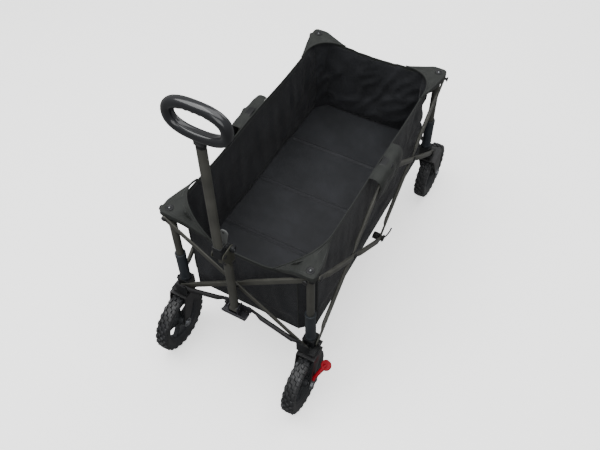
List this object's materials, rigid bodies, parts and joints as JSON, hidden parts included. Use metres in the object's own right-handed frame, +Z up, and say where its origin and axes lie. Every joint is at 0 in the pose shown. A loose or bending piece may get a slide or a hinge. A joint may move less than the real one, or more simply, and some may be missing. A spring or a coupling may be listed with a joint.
{
  "type": "folding wagon with pull handle",
  "caption": "Folding utility wagon with a black fabric bag on a crossed-bar frame, four block-tread wheels, a red brake pedal and a telescopic pull handle with a D grip.",
  "frame": {"origin": "on the ground under the middle of the outer box", "axes": "+Z up, -Y towards the pull handle, +X towards the side with the brake pedal"},
  "size_m": [0.5396, 1.143, 1.1],
  "materials": {
    "frame_tube": "satin",
    "post_sleeve": "satin",
    "fork_steel": "satin",
    "black_plastic": "matte",
    "rim_plastic": "matte",
    "tyre_rubber": "matte",
    "zinc_steel": "satin",
    "grip_plastic": "gloss",
    "brake_red": "gloss",
    "bag_fabric": "woven"
  },
  "bodies": {
    "front_left_base": {"corner_bracket_front_left": "black_plastic", "post_sleeve_front_left": "post_sleeve", "bag": "bag_fabric"},
    "front_bar_from_left": {"front_bar_from_left": "frame_tube"},
    "front_bar_from_right": {"front_bar_from_right": "frame_tube"},
    "front_left_top": {"post_tube_front_left": "frame_tube", "post_cap_front_left": "black_plastic"},
    "front_right_top": {"post_tube_front_right": "frame_tube", "post_cap_front_right": "black_plastic"},
    "front_right_base": {"corner_bracket_front_right": "black_plastic", "post_sleeve_front_right": "post_sleeve"},
    "side_bar_front_low_left": {"side_bar_front_low_left": "frame_tube"},
    "side_bar_front_high_left": {"side_bar_front_high_left": "frame_tube"},
    "side_bar_rear_low_left": {"side_bar_rear_low_left": "frame_tube"},
    "side_bar_rear_high_left": {"side_bar_rear_high_left": "frame_tube"},
    "top_hub_left": {"top_hub_left": "black_plastic"},
    "bottom_hub_left": {"bottom_hub_left": "black_plastic"},
    "rear_left_base": {"corner_bracket_rear_left": "black_plastic", "post_sleeve_rear_left": "post_sleeve", "fork_rear_left": "fork_steel", "axle_rear_left": "zinc_steel"},
    "rear_left_top": {"post_tube_rear_left": "frame_tube", "post_cap_rear_left": "black_plastic"},
    "side_bar_front_low_right": {"side_bar_front_low_right": "frame_tube"},
    "side_bar_front_high_right": {"side_bar_front_high_right": "frame_tube"},
    "side_bar_rear_low_right": {"side_bar_rear_low_right": "frame_tube"},
    "side_bar_rear_high_right": {"side_bar_rear_high_right": "frame_tube"},
    "top_hub_right": {"top_hub_right": "black_plastic"},
    "bottom_hub_right": {"bottom_hub_right": "black_plastic"},
    "rear_right_base": {"corner_bracket_rear_right": "black_plastic", "post_sleeve_rear_right": "post_sleeve", "fork_rear_right": "fork_steel", "axle_rear_right": "zinc_steel"},
    "rear_right_top": {"post_tube_rear_right": "frame_tube", "post_cap_rear_right": "black_plastic"},
    "rear_bar_from_left": {"rear_bar_from_left": "frame_tube"},
    "rear_bar_from_right": {"rear_bar_from_right": "frame_tube"},
    "link_left": {"link_left": "frame_tube"},
    "link_right": {"link_right": "frame_tube"},
    "handle_foot": {"handle_foot": "zinc_steel"},
    "handle_lower": {"handle_lower_tube": "frame_tube", "elbow_bracket": "frame_tube"},
    "handle_upper": {"elbow_collar": "black_plastic", "handle_outer_tube": "frame_tube"},
    "handle_inner": {"handle_inner_tube": "frame_tube", "grip": "grip_plastic"},
    "latch": {"latch": "black_plastic"},
    "caster_left": {"fork_front_left": "fork_steel", "axle_front_left": "zinc_steel"},
    "front_wheel_left": {"tyre_front_left": "tyre_rubber", "rim_front_left": "rim_plastic"},
    "rear_wheel_left": {"tyre_rear_left": "tyre_rubber", "rim_rear_left": "rim_plastic"},
    "caster_right": {"fork_front_right": "fork_steel", "axle_front_right": "zinc_steel"},
    "front_wheel_right": {"tyre_front_right": "tyre_rubber", "rim_front_right": "rim_plastic"},
    "rear_wheel_right": {"tyre_rear_right": "tyre_rubber", "rim_rear_right": "rim_plastic"},
    "brake": {"brake_pedal": "brake_red"}
  },
  "joints": [
    {"name": "fold", "type": "hinge", "parent": "front_left_base", "child": "front_bar_from_left", "pos_m": [-0.2185, -0.434, 0.236], "axis": [0, -1, 0], "range_deg": [0, 38.18], "deforming": ["bag"]},
    {"name": "front_cross", "type": "hinge", "parent": "front_bar_from_left", "child": "front_bar_from_right", "pos_m": [-0.0085, -0.434, 0.399], "axis": [0, -1, 0], "range_deg": [-77.36, 0]},
    {"name": "front_right_top_pivot", "type": "hinge", "parent": "front_bar_from_left", "child": "front_right_top", "pos_m": [0.2015, -0.434, 0.562], "axis": [0, -1, 0], "range_deg": [-39.18, 0]},
    {"name": "front_left_top_pivot", "type": "hinge", "parent": "front_bar_from_right", "child": "front_left_top", "pos_m": [-0.2185, -0.434, 0.562], "axis": [0, -1, 0], "range_deg": [0, 39.18]},
    {"name": "front_right_base_pivot", "type": "hinge", "parent": "front_bar_from_right", "child": "front_right_base", "pos_m": [0.2015, -0.434, 0.236], "axis": [0, -1, 0], "range_deg": [0, 39.18]},
    {"name": "side_front_low_pivot_left", "type": "hinge", "parent": "front_left_base", "child": "side_bar_front_low_left", "pos_m": [-0.242, -0.4105, 0.236], "axis": [1, 0, 0], "range_deg": [0, 39.18]},
    {"name": "side_front_cross_left", "type": "hinge", "parent": "side_bar_front_low_left", "child": "side_bar_front_high_left", "pos_m": [-0.242, -0.2005, 0.399], "axis": [1, 0, 0], "range_deg": [-77.36, 0]},
    {"name": "bottom_hub_pivot_left", "type": "hinge", "parent": "side_bar_front_high_left", "child": "bottom_hub_left", "pos_m": [-0.242, 0.0095, 0.236], "axis": [1, 0, 0], "range_deg": [0, 39.18]},
    {"name": "top_hub_pivot_left", "type": "hinge", "parent": "side_bar_front_low_left", "child": "top_hub_left", "pos_m": [-0.242, 0.0095, 0.562], "axis": [1, 0, 0], "range_deg": [-39.18, 0]},
    {"name": "side_rear_low_pivot_left", "type": "hinge", "parent": "side_bar_front_low_left", "child": "side_bar_rear_low_left", "pos_m": [-0.242, 0.0095, 0.562], "axis": [1, 0, 0], "range_deg": [-77.36, 0]},
    {"name": "side_rear_cross_left", "type": "hinge", "parent": "side_bar_rear_low_left", "child": "side_bar_rear_high_left", "pos_m": [-0.242, 0.2195, 0.399], "axis": [1, 0, 0], "range_deg": [0, 77.36]},
    {"name": "rear_base_pivot_left", "type": "hinge", "parent": "side_bar_rear_low_left", "child": "rear_left_base", "pos_m": [-0.242, 0.4295, 0.236], "axis": [1, 0, 0], "range_deg": [0, 39.18]},
    {"name": "rear_top_pivot_left", "type": "hinge", "parent": "side_bar_rear_high_left", "child": "rear_left_top", "pos_m": [-0.242, 0.4295, 0.562], "axis": [1, 0, 0], "range_deg": [-39.18, 0]},
    {"name": "side_front_low_pivot_right", "type": "hinge", "parent": "front_right_base", "child": "side_bar_front_low_right", "pos_m": [0.225, -0.4105, 0.236], "axis": [1, 0, 0], "range_deg": [0, 39.18]},
    {"name": "side_front_cross_right", "type": "hinge", "parent": "side_bar_front_low_right", "child": "side_bar_front_high_right", "pos_m": [0.225, -0.2005, 0.399], "axis": [1, 0, 0], "range_deg": [-77.36, 0]},
    {"name": "bottom_hub_pivot_right", "type": "hinge", "parent": "side_bar_front_high_right", "child": "bottom_hub_right", "pos_m": [0.225, 0.0095, 0.236], "axis": [1, 0, 0], "range_deg": [0, 39.18]},
    {"name": "top_hub_pivot_right", "type": "hinge", "parent": "side_bar_front_low_right", "child": "top_hub_right", "pos_m": [0.225, 0.0095, 0.562], "axis": [1, 0, 0], "range_deg": [-39.18, 0]},
    {"name": "side_rear_low_pivot_right", "type": "hinge", "parent": "side_bar_front_low_right", "child": "side_bar_rear_low_right", "pos_m": [0.225, 0.0095, 0.562], "axis": [1, 0, 0], "range_deg": [-77.36, 0]},
    {"name": "side_rear_cross_right", "type": "hinge", "parent": "side_bar_rear_low_right", "child": "side_bar_rear_high_right", "pos_m": [0.225, 0.2195, 0.399], "axis": [1, 0, 0], "range_deg": [0, 77.36]},
    {"name": "rear_base_pivot_right", "type": "hinge", "parent": "side_bar_rear_low_right", "child": "rear_right_base", "pos_m": [0.225, 0.4295, 0.236], "axis": [1, 0, 0], "range_deg": [0, 39.18]},
    {"name": "rear_top_pivot_right", "type": "hinge", "parent": "side_bar_rear_high_right", "child": "rear_right_top", "pos_m": [0.225, 0.4295, 0.562], "axis": [1, 0, 0], "range_deg": [-39.18, 0]},
    {"name": "rear_low_pivot", "type": "hinge", "parent": "rear_left_base", "child": "rear_bar_from_left", "pos_m": [-0.2185, 0.453, 0.236], "axis": [0, -1, 0], "range_deg": [0, 39.18]},
    {"name": "rear_cross", "type": "hinge", "parent": "rear_bar_from_left", "child": "rear_bar_from_right", "pos_m": [-0.0085, 0.453, 0.399], "axis": [0, -1, 0], "range_deg": [-77.36, 0]},
    {"name": "link_left_pivot", "type": "hinge", "parent": "front_left_base", "child": "link_left", "pos_m": [-0.2055, -0.44225, 0.252], "axis": [0, -1, 0], "range_deg": [0, 65.49]},
    {"name": "link_right_pivot", "type": "hinge", "parent": "front_right_base", "child": "link_right", "pos_m": [0.1885, -0.44225, 0.252], "axis": [0, 1, 0], "range_deg": [0, 65.49]},
    {"name": "handle_foot_pivot", "type": "hinge", "parent": "link_left", "child": "handle_foot", "pos_m": [-0.0415, -0.44225, 0.31], "axis": [0, -1, 0], "range_deg": [-65.49, 0]},
    {"name": "handle_swing", "type": "hinge", "parent": "handle_foot", "child": "handle_lower", "pos_m": [-0.0085, -0.4618, 0.322], "axis": [1, 0, 0], "range_deg": [0, 80]},
    {"name": "handle_elbow", "type": "hinge", "parent": "handle_lower", "child": "handle_upper", "pos_m": [-0.0085, -0.4888, 0.603], "axis": [1, 0, 0], "range_deg": [0, 170]},
    {"name": "handle_slide", "type": "slide", "parent": "handle_upper", "child": "handle_inner", "axis": [0, 0, 1], "range_m": [0, 0.28]},
    {"name": "latch_lift", "type": "hinge", "parent": "handle_lower", "child": "latch", "pos_m": [-0.0085, -0.4618, 0.606], "axis": [-1, 0, 0], "range_deg": [0, 25], "stiffness_Nm_per_rad": 0.1, "springref_deg": -20.05},
    {"name": "caster_swivel_left", "type": "hinge", "parent": "front_left_base", "child": "caster_left", "pos_m": [-0.2245, -0.4245, 0.215], "axis": [0, 0, 1], "continuous": true},
    {"name": "front_wheel_spin_left", "type": "hinge", "parent": "caster_left", "child": "front_wheel_left", "pos_m": [-0.2245, -0.4705, 0.101], "axis": [1, 0, 0], "continuous": true},
    {"name": "rear_wheel_spin_left", "type": "hinge", "parent": "rear_left_base", "child": "rear_wheel_left", "pos_m": [-0.2355, 0.4705, 0.101], "axis": [1, 0, 0], "continuous": true},
    {"name": "caster_swivel_right", "type": "hinge", "parent": "front_right_base", "child": "caster_right", "pos_m": [0.2075, -0.4245, 0.215], "axis": [0, 0, 1], "continuous": true},
    {"name": "front_wheel_spin_right", "type": "hinge", "parent": "caster_right", "child": "front_wheel_right", "pos_m": [0.2075, -0.4705, 0.101], "axis": [1, 0, 0], "continuous": true},
    {"name": "rear_wheel_spin_right", "type": "hinge", "parent": "rear_right_base", "child": "rear_wheel_right", "pos_m": [0.2185, 0.4705, 0.101], "axis": [1, 0, 0], "continuous": true},
    {"name": "brake_press", "type": "hinge", "parent": "caster_right", "child": "brake", "pos_m": [0.2395, -0.4585, 0.128], "axis": [-1, 0, 0], "range_deg": [0, 20]}
  ],
  "couplings": [
    {"joint": "front_cross", "follows": "fold", "ratio": -2},
    {"joint": "front_right_top_pivot", "follows": "fold", "ratio": -1},
    {"joint": "front_left_top_pivot", "follows": "fold", "ratio": 1},
    {"joint": "front_right_base_pivot", "follows": "fold", "ratio": 1},
    {"joint": "side_front_low_pivot_left", "follows": "fold", "ratio": 1},
    {"joint": "side_front_cross_left", "follows": "fold", "ratio": -2},
    {"joint": "bottom_hub_pivot_left", "follows": "fold", "ratio": 1},
    {"joint": "top_hub_pivot_left", "follows": "fold", "ratio": -1},
    {"joint": "side_rear_low_pivot_left", "follows": "fold", "ratio": -2},
    {"joint": "side_rear_cross_left", "follows": "fold", "ratio": 2},
    {"joint": "rear_base_pivot_left", "follows": "fold", "ratio": 1},
    {"joint": "rear_top_pivot_left", "follows": "fold", "ratio": -1},
    {"joint": "side_front_low_pivot_right", "follows": "fold", "ratio": 1},
    {"joint": "side_front_cross_right", "follows": "fold", "ratio": -2},
    {"joint": "bottom_hub_pivot_right", "follows": "fold", "ratio": 1},
    {"joint": "top_hub_pivot_right", "follows": "fold", "ratio": -1},
    {"joint": "side_rear_low_pivot_right", "follows": "fold", "ratio": -2},
    {"joint": "side_rear_cross_right", "follows": "fold", "ratio": 2},
    {"joint": "rear_base_pivot_right", "follows": "fold", "ratio": 1},
    {"joint": "rear_top_pivot_right", "follows": "fold", "ratio": -1},
    {"joint": "rear_low_pivot", "follows": "fold", "ratio": 1},
    {"joint": "rear_cross", "follows": "fold", "ratio": -2},
    {"joint": "link_left_pivot", "follows": "fold", "ratio": 1.689},
    {"joint": "link_right_pivot", "follows": "fold", "ratio": 1.689},
    {"joint": "handle_foot_pivot", "follows": "fold", "ratio": -1.689}
  ]
}
